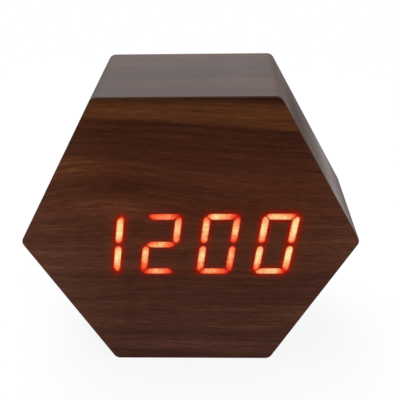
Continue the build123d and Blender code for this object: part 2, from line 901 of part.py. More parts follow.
# Each button: its cap, and the switch and plunger behind it
for name, (x, z) in zip(button_names, button_spots):
    with BuildPart() as cap:
        with BuildSketch(from_behind(lug_outer)):
            with Locations((x, z)):
                Circle(button_radius)
        extrude(amount=plate_outer + button_proud - lug_outer)
        with BuildSketch(from_behind(lug_inner)):
            with Locations((x, z)):
                Rectangle(lug_length, lug_height)
        extrude(amount=lug_thickness)
        with BuildSketch(from_behind(lug_inner)):
            with Locations((x, z)):
                Rectangle(stem_width, stem_web)
                Rectangle(stem_web, stem_width)
        extrude(amount=-stem_length)
    write(cap, f"{name}_button")

    with BuildPart() as switch:
        with BuildSketch(from_behind(control_board_face)):
            with Locations((x, z)):
                Rectangle(switch_side, switch_side)
        extrude(amount=switch_height)
        with BuildSketch(from_behind(switch_top)):
            with Locations((x, z)):
                Circle(plunger_radius + plunger_clearance)
        extrude(amount=-(plunger_seat_depth + plunger_travel_room), mode=Mode.SUBTRACT)
    write(switch, f"{name}_switch")

    with BuildPart() as plunger:
        with BuildSketch(from_behind(plunger_top)):
            with Locations((x, z)):
                Circle(plunger_radius)
        extrude(amount=-(plunger_proud + plunger_seat_depth))
    write(plunger, f"{name}_plunger")

# The power socket's housing, its nose in the plate, and its pin
with BuildPart() as power_socket:
    with BuildSketch(from_behind(control_board_face)):
        with Locations((jack_x, row_rise)):
            Rectangle(jack_side, jack_side)
    extrude(amount=plate_inner - touch_gap - control_board_face)
    with BuildSketch(from_behind(plate_inner - touch_gap)):
        with Locations((jack_x, row_rise)):
            Circle(jack_nose_radius)
    extrude(amount=plate_thickness + touch_gap - jack_nose_inset)
    with Locations(from_behind(plate_outer - jack_nose_inset)):
        with Locations((jack_x, row_rise)):
            Hole(jack_bore_radius, depth=jack_bore_depth)
write(power_socket, "power_socket")

with BuildPart() as socket_pin:
    with BuildSketch(from_behind(plate_outer - jack_nose_inset - jack_bore_depth)):
        with Locations((jack_x, row_rise)):
            Circle(jack_pin_radius)
    extrude(amount=jack_bore_depth - jack_pin_inset)
write(socket_pin, "socket_pin")

# The buzzer behind its grille
with BuildPart() as buzzer:
    with BuildSketch(from_behind(control_board_face)):
        with Locations((buzzer_x, row_rise)):
            Circle(buzzer_radius)
    extrude(amount=buzzer_height)
write(buzzer, "buzzer")

# The headers and the ribbon that joins the two boards
rear_header_rise = control_board_high - rear_header_inset
for name, plane, rise in (
    ("front_header", from_behind(display_board_back), front_header_rise),
    ("rear_header", from_front(control_board_front), rear_header_rise),
):
    with BuildPart() as header:
        with BuildSketch(plane):
            with Locations((0, rise)):
                Rectangle(header_length, header_width)
        extrude(amount=header_height)
    write(header, name)

with BuildPart() as ribbon_cable:
    with BuildSketch(from_side()):
        with BuildLine():
            FilletPolyline(
                (control_board_front - header_height, rear_header_rise),
                (control_board_front - header_height - ribbon_run, rear_header_rise),
                (display_board_back + header_height + ribbon_run, front_header_rise),
                (display_board_back + header_height, front_header_rise),
                radius=ribbon_bend_radius,
            )
        trace(line_width=ribbon_thickness)
    extrude(amount=ribbon_width / 2, both=True)
write(ribbon_cable, "ribbon_cable")

# The leads from the battery contacts to the control board
lead_run = bay_back - lead_run_gap
for name, side, level in (
    ("positive_lead", 1, cell_levels[0]),
    ("negative_lead", -1, cell_levels[-1]),
):
    tag_x = side * (bay_end - contact_thickness / 2)
    board_x = side * (bay_end - battery_lead_inset)
    tag_z = case_centre + bay_rise + level
    board_z = case_centre + control_board_low + board_lead_inset
    with BuildPart() as battery_lead:
        wire_lead(
            [
                (tag_x, bay_back - tag_reach, tag_z),
                (tag_x, lead_run, tag_z),
                (board_x, lead_run, board_z),
                (board_x, control_board_front, board_z),
            ],
            lead_radius,
            lead_bend_radius,
        )
    write(battery_lead, name)
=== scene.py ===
from math import cos, pi, radians, sin, sqrt, tan

import bmesh
import bpy
from mathutils import Euler, Matrix, Vector


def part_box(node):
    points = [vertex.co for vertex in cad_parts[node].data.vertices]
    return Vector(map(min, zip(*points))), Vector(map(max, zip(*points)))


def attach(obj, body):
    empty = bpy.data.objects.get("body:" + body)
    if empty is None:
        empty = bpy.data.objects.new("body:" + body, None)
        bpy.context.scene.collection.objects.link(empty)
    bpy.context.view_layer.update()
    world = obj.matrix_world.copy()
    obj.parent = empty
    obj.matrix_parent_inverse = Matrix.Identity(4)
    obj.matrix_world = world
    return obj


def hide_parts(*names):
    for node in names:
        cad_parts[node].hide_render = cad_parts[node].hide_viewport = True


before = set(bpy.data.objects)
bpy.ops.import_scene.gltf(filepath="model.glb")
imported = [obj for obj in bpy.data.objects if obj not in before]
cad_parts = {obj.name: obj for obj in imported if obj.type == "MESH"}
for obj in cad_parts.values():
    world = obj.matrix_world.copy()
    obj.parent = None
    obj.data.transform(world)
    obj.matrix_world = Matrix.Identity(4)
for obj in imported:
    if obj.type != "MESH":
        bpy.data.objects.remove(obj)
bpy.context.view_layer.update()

# The looks of a hexagonal, wood-wrapped desk clock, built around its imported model. Its frame is
# in metres, +Z up, and the display faces -Y. Named sizes are in millimetres: MM makes them metres.

MM = 0.001


def node_box(name):
    """A node's lowest and highest corners at rest, in millimetres."""
    return [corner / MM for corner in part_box(name)]


# The camera, as the photograph's stood to the clock
camera_place = (8.92, -196.01, 146.66)
camera_turn = 1.92  # degrees, to the left
camera_drop = 31.064  # degrees below level
camera_roll = -1.035  # degrees
camera_lens = 62.1
camera_shift = 0.1265

# The case, from the frame
case_low, case_high = node_box("front_veneer")
case_centre = (case_low.z + case_high.z) / 2

# The display, as its wells are cut in the light guide
digit_count = 4
digit_pitch = 16.9
segment_spacing = 8.7  # between the centre lines of a digit's left and right bars
segment_rise = 9.25  # from the centre line of the middle bar to that of the top bar
stroke = 1.9
middle_tip_gap = 0.45
digit_slant = 8.0  # degrees
display_drop = 0.75  # of the display's centre below the case's

# How brightly each bar of the four digits shines through the veneer, from 0, dark, to 1
bar_shares = {
    "a": (0.00, 0.50, 0.75, 0.90),
    "b": (0.95, 0.80, 0.70, 1.00),
    "c": (0.95, 0.00, 0.60, 0.95),
    "d": (0.00, 0.60, 0.60, 0.85),
    "e": (0.00, 0.70, 0.85, 0.85),
    "f": (0.00, 0.00, 0.85, 0.95),
    "g": (0.00, 0.65, 0.00, 0.00),
}
# How much brighter the right end of a level bar is than its middle, or the outer end of an
# upright one
bar_tilts = {
    "a": (0.00, -0.10, -0.45, -0.20),
    "b": (0.00, 0.10, 0.15, 0.30),
    "c": (-0.10, 0.00, -0.15, -0.20),
    "d": (0.00, -0.05, -0.10, -0.25),
    "e": (0.00, -0.25, -0.05, -0.25),
    "f": (0.00, 0.00, 0.15, 0.30),
    "g": (0.00, -0.25, 0.00, 0.00),
}


def srgb(red, green, blue):
    """A colour as it is seen, 0 to 255, as the linear values that a shader takes."""
    seen = [value / 255 for value in (red, green, blue)]
    return (*[v / 12.92 if v <= 0.04045 else ((v + 0.055) / 1.055) ** 2.4 for v in seen], 1.0)


# Materials


class Nodes:
    """Makes the nodes of a tree, and gives back their outputs."""

    def __init__(self, tree):
        self.tree = tree

    def put(self, socket, value):
        if isinstance(value, bpy.types.NodeSocket):
            self.tree.links.new(value, socket)
        else:
            socket.default_value = value

    def node(self, kind, inputs, output=0, **settings):
        made = self.tree.nodes.new(kind)
        for name, value in settings.items():
            setattr(made, name, value)
        for name, value in inputs.items():
            self.put(made.inputs[name], value)
        return made.outputs[output]

    def math(self, operation, *values):
        return self.node("ShaderNodeMath", dict(enumerate(values)), operation=operation)

    def add(self, first, second):
        return self.math("ADD", first, second)

    def take(self, first, second):
        return self.math("SUBTRACT", first, second)

    def times(self, first, second):
        return self.math("MULTIPLY", first, second)

    def size(self, value):
        return self.math("ABSOLUTE", value)

    def plus(self, base, value, share):
        """The base with a share of the value on top."""
        return self.math("MULTIPLY_ADD", value, share, base)

    def pile(self, base, *layers):
        """The base with a share of each layer on top."""
        for layer, share in layers:
            base = self.plus(base, layer, share)
        return base

    def vector(self, operation, first, second=(0, 0, 0)):
        return self.node("ShaderNodeVectorMath", {0: first, 1: second}, operation=operation)

    def split(self, vector):
        made = self.tree.nodes.new("ShaderNodeSeparateXYZ")
        self.put(made.inputs[0], vector)
        return made.outputs

    def join(self, x=0.0, y=0.0, z=0.0):
        return self.node("ShaderNodeCombineXYZ", {0: x, 1: y, 2: z})

    def ramp(self, factor, stops, interpolation="LINEAR"):
        """A ramp of colours as they are seen, or of plain values."""
        output = self.node("ShaderNodeValToRGB", {0: factor})
        band = output.node.color_ramp
        band.interpolation = interpolation
        while len(band.elements) < len(stops):
            band.elements.new(1.0)
        for element, (position, colour) in zip(band.elements, stops):
            element.position = position
            seen = isinstance(colour, tuple)
            element.color = srgb(*colour) if seen else (colour, colour, colour, 1)
        return output

    def mix(self, factor, first, second, blend="MIX"):
        inputs = {0: factor, 6: first, 7: second}
        return self.node("ShaderNodeMix", inputs, 2, data_type="RGBA", blend_type=blend)

    def either(self, test, yes, no):
        return self.node("ShaderNodeMix", {0: test, 2: no, 3: yes}, data_type="FLOAT")

    def spread(self, value, low, high, to_low=0.0, to_high=1.0, smooth=False):
        """Maps low..high to to_low..to_high, and no further."""
        inputs = {0: value, 1: low, 2: high, 3: to_low, 4: to_high}
        kind = "SMOOTHSTEP" if smooth else "LINEAR"
        return self.node("ShaderNodeMapRange", inputs, interpolation_type=kind)

    def hill(self, value, middle, width):
        """A soft hill of height 1 about the middle."""
        away = self.math("DIVIDE", self.take(value, middle), width)
        return self.math("EXPONENT", self.times(self.times(away, away), -1.0))

    def plateau(self, value, low, high, edge):
        """1 between low and high, and 0 beyond, with soft edges."""
        rises = self.spread(value, low - edge, low + edge, smooth=True)
        falls = self.spread(value, high - edge, high + edge, 1.0, 0.0, smooth=True)
        return self.times(rises, falls)


class Finish(Nodes):
    """A material in the making: its nodes, and the sockets of its Principled shader."""

    def __init__(self, name, **plain):
        self.material = bpy.data.materials.new(name)
        self.material.use_nodes = True
        super().__init__(self.material.node_tree)
        shader = self.tree.nodes["Principled BSDF"]
        self.sockets = {socket.name.lower(): socket for socket in shader.inputs}
        for socket, value in plain.items():
            self.set(socket.replace("_", " "), value)
        # The place on the piece in the clock's frame, in millimetres
        given = self.tree.nodes.new("ShaderNodeTexCoord").outputs["Object"]
        self.place = self.vector("MULTIPLY", given, (1 / MM, 1 / MM, 1 / MM))

    def set(self, name, value):
        self.put(self.sockets[name.lower()], value)

    def noise(self, size, detail, roughness=0.5, at=None):
        """Smooth noise from 0 to 1 about the place, or about another that is given, with a patch
        size in millimetres, or one for each axis."""
        lengths = size if isinstance(size, tuple) else (size, size, size)
        place = self.place if at is None else at
        scaled = self.vector("MULTIPLY", place, tuple(1 / length for length in lengths))
        inputs = {"Vector": scaled, "Scale": 1.0, "Detail": detail, "Roughness": roughness}
        return self.node("ShaderNodeTexNoise", inputs)

    def tint(self, tone, shade):
        """Colours the surface with a tone, made darker or lighter by a shade about 1."""
        shades = self.join(shade, shade, shade)
        self.set("Base Color", self.mix(1.0, srgb(*tone), shades, "MULTIPLY"))

    def sheen(self, roughness, layer, extent):
        """A roughness, about which a layer goes both ways, by an extent in all."""
        self.set("Roughness", self.plus(roughness - extent / 2, layer, extent))

    def bump(self, height, depth):
        """Raises the surface by the height, which is 0 to 1, times the depth in millimetres."""
        inputs = {"Height": height, "Distance": depth * MM}
        self.set("Normal", self.node("ShaderNodeBump", inputs))


# The tones of the veneer, from its darkest grain to its lightest
red_walnut = [
    (0.00, (36, 16, 8)),
    (0.30, (53, 24, 13)),
    (0.50, (63, 30, 17)),
    (0.70, (74, 37, 21)),
    (1.00, (96, 53, 31)),
]
orange_walnut = [
    (0.00, (38, 19, 10)),
    (0.30, (56, 30, 15)),
    (0.50, (67, 36, 18)),
    (0.70, (79, 44, 22)),
    (1.00, (106, 64, 34)),
]
grey_walnut = [
    (0.00, (38, 22, 16)),
    (0.30, (55, 32, 24)),
    (0.50, (67, 40, 30)),
    (0.70, (79, 49, 38)),
    (1.00, (104, 70, 56)),
]

# The layers of the grain: how long and how wide their marks are, and their noise's detail and
# roughness
grain_layers = {
    "broad": (70, 5.5, 3, 0.55),
    "streaks": (28, 1.1, 4, 0.65),
    "dashes": (4.2, 0.42, 2, 0.6),
    "lines": (15, 0.5, 2, 0.6),
    "pores": (3.2, 0.26, 1, 0.5),
}
# Where dark lines and open pores start in their noise, and where they are at their darkest
line_steps = (0.57, 0.70)
pore_steps = (0.60, 0.72)


def grain(finish, place, across):
    """The layers of walnut's grain about a place: its broad bands, its streaks, the short
    dashes of its fibres, dark lines, and open pores. It runs square to the axis across."""
    found = {}
    for name, (length, width, detail, roughness) in grain_layers.items():
        size = tuple(width if axis == across else length for axis in "xyz")
        found[name] = finish.noise(size, detail, roughness, at=place)
    found["lines"] = finish.spread(found["lines"], *line_steps)
    found["pores"] = finish.spread(found["pores"], *pore_steps)
    return found


def grained(finish, layers, tone, shares):
    """The veneer's tone, which is 0 to 1, with a share of each layer of its grain. The broad
    bands, the streaks and the dashes go both ways from it, and the other layers one way."""
    base = tone - (shares["broad"] + shares["streaks"] + shares["dashes"]) / 2
    return finish.pile(base, *((layers[name], share) for name, share in shares.items()))


def veneer_surface(finish, layers, roughness):
    """The open pores and the raised fibres of oiled veneer."""
    finish.sheen(roughness, layers["streaks"], extent=0.16)
    height = finish.plus(finish.times(layers["dashes"], 0.5), layers["pores"], -1.0)
    finish.bump(height, depth=0.02)


plain_sway = 7.0
plain_shares = {"broad": 1.2, "streaks": 1.0, "dashes": 0.5, "lines": -0.12, "pores": -0.12}


def walnut(name, across, tone, roughness, greyness, **plain):
    """Plain walnut veneer, whose grain is square to the axis across. Its tone is 0 to 1."""
    finish = Finish(name, **plain)
    wave = finish.take(finish.noise(size=60, detail=1), 0.5)
    sway = finish.join(**{across: finish.times(wave, plain_sway)})
    swayed = finish.vector("ADD", finish.place, sway)
    layers = grain(finish, swayed, across)
    value = grained(finish, layers, tone, plain_shares)
    red, grey = finish.ramp(value, red_walnut), finish.ramp(value, grey_walnut)
    finish.set("Base Color", finish.mix(greyness, red, grey))
    veneer_surface(finish, layers, roughness)
    return finish


# The figure of the front's sheet, along the case and up it, from its middle. A patch is a middle
# and a reach along, and then up. A band is two edges and how far they fade, and a streak or a
# line is a middle and a reach. The other pairs are where a change begins and is complete.
front_tone = 0.40
front_roughness = 0.55
front_shares = {"broad": 0.55, "streaks": 0.75, "dashes": 0.70, "lines": -0.12, "pores": -0.09}
arch_patch = (-21, 21, 19, 12)
arch_rise = 4.5
front_sway = 4.0
front_sway_size = (55, 30, 22)
lean_levels = (0, 30)
lean_slopes = (0.012, 0.06)
orange_band = (36.6, 43.2, 0.7)
orange_patch = (-37, 12, 25, 4.5)
orange_patch_share = 0.8
bright_patch = (-20, 14, 12, 3.4)
dark_patch = (-17, 6.5, 18.2, 1.9)
arch_line = (20.9, 0.55)
arch_extent = (-45, 20, 12)
under_orange_line = (35.8, 0.6)
under_orange_band = (24.0, 35.8, 2.0)
over_digits_band = (14.0, 21.5, 1.6)
digits_band = (-12, 11, 3)
top_shade_levels = (41.4, 43.6)
right_streak = (23, 4)
right_streak_start = (0, 25)
low_streak = (-26, 5)
low_levels = (-22, -34)
bottom_streak = (-37.6, 2.6)
bottom_line = (-42.5, 2.8)
bottom_line_end = (12, -12)
# A painted sheen: the front is lighter and greyer towards its ends, and greyer towards its bottom
painted_sheen_middle = 5
painted_sheen_ends = (25, 48)
painted_sheen_levels = (12, -38)
painted_sheen_shares = (0.1, 1.0)
end_painted_sheen = 0.3
sanded_depths = (0.02, 0.12)  # behind the front's face, over which its cut edge begins
sanded_tone = srgb(62, 44, 36)


def figured_walnut(finish):
    """The colour and the grain of the front's sheet of veneer, with its light orange band under the
    top edge, the arch of its grain over the first two digits, and a painted sheen that makes its lower
    half greyer and its ends lighter and greyer."""
    along, depth, height = finish.split(finish.place)
    level = finish.take(height, case_centre)

    def patch(along_middle, along_reach, level_middle, level_reach):
        across = finish.hill(along, along_middle, along_reach)
        return finish.times(across, finish.hill(level, level_middle, level_reach))

    def streak(where, limits):
        return finish.times(finish.hill(level, *where), finish.spread(along, *limits))

    # The grain's lines rise to an arch on the left, and lean down to the right near the top
    wave = finish.take(finish.noise(front_sway_size, detail=1), 0.5)
    lean = finish.times(along, finish.spread(level, *lean_levels, *lean_slopes))
    swayed = finish.plus(finish.add(level, lean), patch(*arch_patch), -arch_rise)
    swayed = finish.plus(swayed, wave, front_sway)
    layers = grain(finish, finish.join(along, depth, swayed), "z")

    band = finish.plateau(swayed, *orange_band)
    orange_spot = patch(*orange_patch)
    # The painted sheen towards the front's ends, which lightens and greys the veneer there
    ends = finish.spread(finish.size(finish.take(along, painted_sheen_middle)), *painted_sheen_ends)
    value = finish.pile(
        grained(finish, layers, front_tone, front_shares),
        (band, 0.22),
        (orange_spot, 0.12),
        (ends, 0.16),
        (patch(*bright_patch), 0.36),
        (patch(*dark_patch), -0.14),
        (finish.times(finish.hill(swayed, *arch_line), finish.plateau(along, *arch_extent)), 0.10),
        (finish.hill(swayed, *under_orange_line), -0.08),
        (finish.plateau(swayed, *under_orange_band), -0.07),
        (finish.plateau(swayed, *over_digits_band), 0.07),
        (finish.plateau(level, *digits_band), 0.10),
        (finish.spread(level, *top_shade_levels), -0.40),
        (streak(right_streak, right_streak_start), 0.12),
        (finish.hill(level, *low_streak), 0.12),
        (finish.spread(level, *low_levels), 0.03),
        (finish.hill(level, *bottom_streak), 0.09),
        (streak(bottom_line, bottom_line_end), -0.14),
    )
    # The painted sheen greys the lower half and the ends
    greyness = finish.plus(finish.spread(level, *painted_sheen_levels, *painted_sheen_shares), ends, end_painted_sheen)
    red, grey = finish.ramp(value, red_walnut), finish.ramp(value, grey_walnut)
    colour = finish.mix(finish.spread(greyness, 0, 1), red, grey)
    orange = finish.math("MAXIMUM", band, finish.times(orange_spot, orange_patch_share))
    colour = finish.mix(orange, colour, finish.ramp(value, orange_walnut))
    sanded = finish.spread(finish.take(depth, case_low.y), *sanded_depths)
    veneer_surface(finish, layers, front_roughness)
    return finish.mix(sanded, colour, sanded_tone), layers


# The light of a bar, from its coolest to its hottest, and the glow round it, from its reach in
lit_tones = [
    (0.00, (218, 34, 18)),
    (0.22, (236, 74, 42)),
    (0.40, (242, 108, 66)),
    (0.60, (243, 154, 100)),
    (0.80, (244, 194, 134)),
    (1.00, (246, 230, 162)),
]
halo_tones = [
    (0.00, (0, 0, 0)),
    (0.20, (22, 6, 0)),
    (0.55, (30, 5, 0)),
    (0.68, (50, 0, 0)),
    (0.81, (88, 0, 0)),
    (0.90, (114, 2, 0)),
    (0.96, (154, 9, 1)),
    (1.00, (206, 28, 8)),
]
halo_reach = 5.0
dim_halo_share = 0.6  # of a bright bar's glow, round the dimmest bar
# Painted glow: near the lit bars the veneer's colour is tinted towards this, between these steps of
# their halo
painted_glow_tint = srgb(255, 186, 88)  # of the veneer's own colour in the glow
painted_glow_steps = (0.62, 0.94)

# What takes from a bar's light: its ends, its edges, its uneven resin, and the veneer's fibres
end_dimming = 0.62
edge_dimming = 0.22
edge_reach = 0.6
resin_dimming = 0.7
resin_patch_size = 3.5
fibre_dimming = 0.40
speck_size = (0.7, 0.7, 1.3)
speck_share = 1.4
bar_edge = 0.12  # half of the width over which a bar's edge fades
bar_rounding = 0.8  # over which the light rounds the corners of a bar
light_gap = 0.14  # what is left of the gaps between the bars once their light has spread
light_corner_cut = 1.4  # what stays dark of a digit's outer corners
lowest_lit = 0.05  # below which a bar is dark
table_lift = 0.5  # of a table's values while they are in a ramp


def digit_at(finish):
    """The digit that a place is at, from 0 on the left, and where the place is in it, across and
    up from its middle, once the digit is set upright."""
    x, _, height = finish.split(finish.place)
    level = finish.take(height, case_centre - display_drop)
    upright = finish.plus(x, level, -tan(radians(digit_slant)))
    pitches = finish.plus(digit_count / 2, upright, 1 / digit_pitch)
    digit = finish.math("MAXIMUM", finish.math("FLOOR", pitches), 0.0)
    digit = finish.math("MINIMUM", digit, digit_count - 1)
    middle = finish.plus((1 - digit_count) / 2 * digit_pitch, digit, digit_pitch)
    return digit, finish.take(upright, middle), level


def bar_distances(finish, x, z):
    """How far a place is outside of a digit's level bar, upright bar and middle bar near it. The
    digit is folded on its middle, so x and z are the place's distances from that."""
    side = segment_spacing / 2
    half = stroke / 2
    mitre = light_gap / sqrt(2)
    total = finish.add(x, z)
    corner = finish.take(total, side + segment_rise + stroke - light_corner_cut)
    skew = finish.take(finish.take(x, z), side - segment_rise)
    off_side = finish.size(finish.take(x, side))
    off_top = finish.size(finish.take(z, segment_rise))

    def outside(*edges):
        """The most that a place is beyond any of a bar's edges, with its corners rounded."""
        found = edges[0]
        for edge in edges[1:]:
            found = finish.math("SMOOTH_MAX", found, edge, bar_rounding)
        return found

    def slanted(value, shift):
        return finish.times(finish.add(value, shift), sqrt(0.5))

    cut = slanted(corner, 0.0)
    level_bar = outside(finish.take(off_top, half), slanted(skew, mitre), cut)
    upright_bar = outside(
        finish.take(off_side, half),
        finish.take(middle_tip_gap, z),
        slanted(finish.times(skew, -1.0), mitre),
        slanted(finish.take(off_side, z), mitre),
        cut,
    )
    middle_bar = outside(finish.take(z, half), slanted(total, mitre - side))
    return level_bar, upright_bar, middle_bar


def per_bar(finish, table, digit, above, right):
    """What a table says of the level bar, the upright bar and the middle bar near a place. A
    ramp holds nothing below zero, so the table's values are lifted in it."""
    column = finish.plus(0.5 / digit_count, digit, 1 / digit_count)

    def share(bar):
        stops = [(i / digit_count, value + table_lift) for i, value in enumerate(table[bar])]
        return finish.take(finish.ramp(column, stops, "CONSTANT"), table_lift)

    level_share = finish.either(above, share("a"), share("d"))
    right_share = finish.either(above, share("b"), share("c"))
    left_share = finish.either(above, share("f"), share("e"))
    return level_share, finish.either(right, right_share, left_share), share("g")


def shine_through(finish, colour, layers):
    """The lit bars' light in the veneer over them, its dark red glow round them, and a painted glow
    that tints the veneer's colour orange near them.
    """
    digit, local, level = digit_at(finish)
    above = finish.math("GREATER_THAN", level, 0.0)
    right = finish.math("GREATER_THAN", local, 0.0)
    z = finish.size(level)
    half_rise = segment_rise / 2
    level_run = finish.times(local, 2 / segment_spacing)
    upright_run = finish.times(finish.take(z, half_rise), 1 / half_rise)

    fibres = finish.add(layers["streaks"], layers["dashes"])
    fibres = finish.plus(fibres, finish.noise(speck_size, detail=2), speck_share)
    fibres = finish.take(fibres, 1 + speck_share / 2)
    resin = finish.take(finish.noise(resin_patch_size, detail=1), 0.5)
    glow, halo = (0, 0, 0, 1), 0.0
    for away, bright, tilt, run in zip(
        bar_distances(finish, finish.size(local), z),
        per_bar(finish, bar_shares, digit, above, right),
        per_bar(finish, bar_tilts, digit, above, right),
        (level_run, upright_run, level_run),
    ):
        lit = finish.math("GREATER_THAN", bright, lowest_lit)
        heat = finish.pile(
            finish.add(bright, finish.times(tilt, run)),
            (finish.times(run, run), -end_dimming),
            (resin, resin_dimming),
            (fibres, fibre_dimming),
            (finish.spread(away, -edge_reach, 0.0), -edge_dimming),
        )
        inside = finish.times(finish.spread(away, bar_edge, -bar_edge, smooth=True), lit)
        glow = finish.mix(inside, glow, finish.ramp(heat, lit_tones))
        around = finish.times(finish.spread(away, 0.0, halo_reach, 1.0, 0.0), lit)
        around = finish.times(around, finish.spread(bright, 0.0, 1.0, dim_halo_share, 1.0))
        halo = finish.math("MAXIMUM", halo, around)
    # Painted glow: the base colour is tinted orange where the bars' light falls on the veneer
    painted_glow_colour = finish.mix(1.0, colour, painted_glow_tint, "MULTIPLY")
    finish.set("Base Color", finish.mix(finish.spread(halo, *painted_glow_steps), colour, painted_glow_colour))
    finish.set("Emission Color", finish.mix(1.0, finish.ramp(halo, halo_tones), glow, "LIGHTEN"))
    finish.set("Emission Strength", 1.0)


def front_walnut():
    """The front's veneer, through which the display shines."""
    finish = Finish("walnut_front", Specular_IOR_Level=0.02)
    shine_through(finish, *figured_walnut(finish))
    return finish.material


# The sides' veneer, and how dull it is, from 0 to 1: on the upper slants, in a spot near their
# front, by the top's edges, where the sides meet, and, below zero, where it is shiniest
wrap_tone = 0.32
satin_roughness = 0.43
dull_roughness = 0.95
roughness_range = 0.1  # over its uneven patches
uneven_rise = 3.0
slant_heights = (59.5, 68.5)
slant_dullness = 0.5
slant_fade = (87.0, 79.0)
spot_height = (78, 5.5)
spot_depths = (18, -6)
spot_dullness = 0.6
edge_along = (24.5, 27.5)
edge_fade = 1.5
edge_heights = (80, 87)
edge_dullness = 0.4
corner_reach = 7.0
corner_dullness = 0.5
shiny_heights = (65, 58)
shiny_dullness = -0.08
least_dullness = -0.1


def wrap_walnut():
    """The sides' veneer is satin, and duller on and below the top's edges, and where the sides
    meet."""
    finish = walnut("walnut_wrap", "y", wrap_tone, satin_roughness, greyness=1.0, IOR=1.46)
    along, depth, height = finish.split(finish.place)
    uneven = finish.noise(size=(20, 30, 20), detail=1)
    swayed = finish.plus(height, uneven, uneven_rise)
    slant = finish.spread(swayed, *slant_heights, 0.0, slant_dullness)
    spot = finish.times(finish.hill(height, *spot_height), finish.spread(depth, *spot_depths))
    edge = finish.plateau(finish.size(along), *edge_along, edge_fade)
    dull = finish.pile(
        finish.times(slant, finish.spread(height, *slant_fade)),
        (spot, spot_dullness),
        (finish.times(edge, finish.spread(height, *edge_heights)), edge_dullness),
        (finish.hill(height, case_centre, corner_reach), corner_dullness),
        (finish.spread(height, *shiny_heights), shiny_dullness),
    )
    slope = dull_roughness - satin_roughness
    least_rough = satin_roughness + least_dullness * slope
    rough = finish.spread(dull, least_dullness, 1.0, least_rough, dull_roughness)
    finish.set("Roughness", finish.plus(rough, uneven, roughness_range))
    return finish.material


def moulded(name, tone, roughness, depth=0.02, texture_size=0.6, mottle=0.12):
    """Moulded plastic with a fine spark-eroded texture and a slightly uneven sheen."""
    finish = Finish(name)
    cloud = finish.noise(size=9, detail=2)
    texture = finish.noise(texture_size, detail=2, roughness=0.6)
    shade = finish.spread(finish.plus(cloud, texture, 0.4), 0.4, 1.0, 1 - mottle, 1 + mottle)
    finish.tint(tone, shade)
    finish.sheen(roughness, cloud, extent=0.12)
    finish.bump(texture, depth)
    return finish.material


def metal(name, tone, roughness, brushed=(0.3, 0.3, 3.0)):
    """Sheet or wire with fine rolling marks and a few duller patches."""
    finish = Finish(name, Metallic=1.0)
    cloud = finish.noise(size=3, detail=2)
    marks = finish.noise(brushed, detail=3, roughness=0.6)
    shade = finish.spread(finish.plus(cloud, marks, 0.6), 0.4, 1.2, 0.86, 1.06)
    finish.tint(tone, shade)
    finish.sheen(roughness, cloud, extent=0.16)
    finish.bump(marks, depth=0.01)
    return finish.material


def speckled(name, tone, fleck, roughness, size, depth=0.02):
    """A fine mixture of a tone and a fleck, for films, chips and insulation."""
    finish = Finish(name)
    specks = finish.noise(size, detail=3, roughness=0.6)
    flecks = finish.spread(specks, 0.40, 0.62)
    finish.set("Base Color", finish.mix(flecks, srgb(*tone), srgb(*fleck)))
    finish.sheen(roughness, specks, extent=0.16)
    finish.bump(specks, depth)
    return finish.material


bubble_size = 0.25
bubble_steps = (0.68, 0.74)


def resin(name, tone, lit=False):
    """Cast resin with a few trapped bubbles, which glows where it is lit."""
    finish = Finish(name)
    cloud = finish.noise(size=2.5, detail=2)
    bubbles = finish.spread(finish.noise(bubble_size, detail=0), *bubble_steps)
    paler = finish.plus(finish.times(cloud, 0.3), bubbles, 0.3)
    finish.set("Base Color", finish.mix(paler, srgb(*tone), srgb(250, 246, 240)))
    finish.sheen(0.28, cloud, extent=0.2)
    finish.bump(bubbles, depth=0.02)
    if lit:
        glow = finish.mix(cloud, srgb(255, 120, 70), srgb(255, 210, 140))
        finish.set("Emission Color", glow)
        finish.set("Emission Strength", 1.0)
    return finish.material


fibre_size = (1.6, 0.35, 1.1)
clump_size = (6, 3, 6)
board_tones = [
    (0.32, (106, 78, 52)),
    (0.48, (158, 124, 88)),
    (0.62, (186, 152, 112)),
    (0.80, (208, 180, 142)),
]


def fibreboard():
    """Pressed wood fibre, with pale and dark specks."""
    finish = Finish("fibreboard", Specular_IOR_Level=0.1)
    fibres = finish.noise(fibre_size, detail=4, roughness=0.7)
    clumps = finish.noise(clump_size, detail=2)
    value = finish.plus(finish.times(fibres, 0.8), clumps, 0.3)
    finish.set("Base Color", finish.ramp(value, board_tones))
    finish.sheen(0.85, fibres, extent=0.2)
    finish.bump(fibres, depth=0.08)
    return finish.material


soft_edge = 0.02  # either side of an edge between two finishes


def part_metal(finish, part, colour, bright, cloud, sheen):
    """The colour, and bright metal where the part is 1. The sheen is the roughness of the one and
    of the other, and how much a cloud adds to them."""
    roughness, metal_roughness, extent = sheen
    finish.set("Base Color", finish.mix(part, colour, bright))
    finish.set("Metallic", part)
    rough = finish.spread(part, 0, 1, roughness, metal_roughness)
    finish.set("Roughness", finish.plus(rough, cloud, extent))


grid = 2.54
track_width = 0.3
pad_radius = 0.55
pad_edge = 0.03
level_track_share = 0.5
pad_share = 0.18
board_sheen = (0.34, 0.24, 0.1)


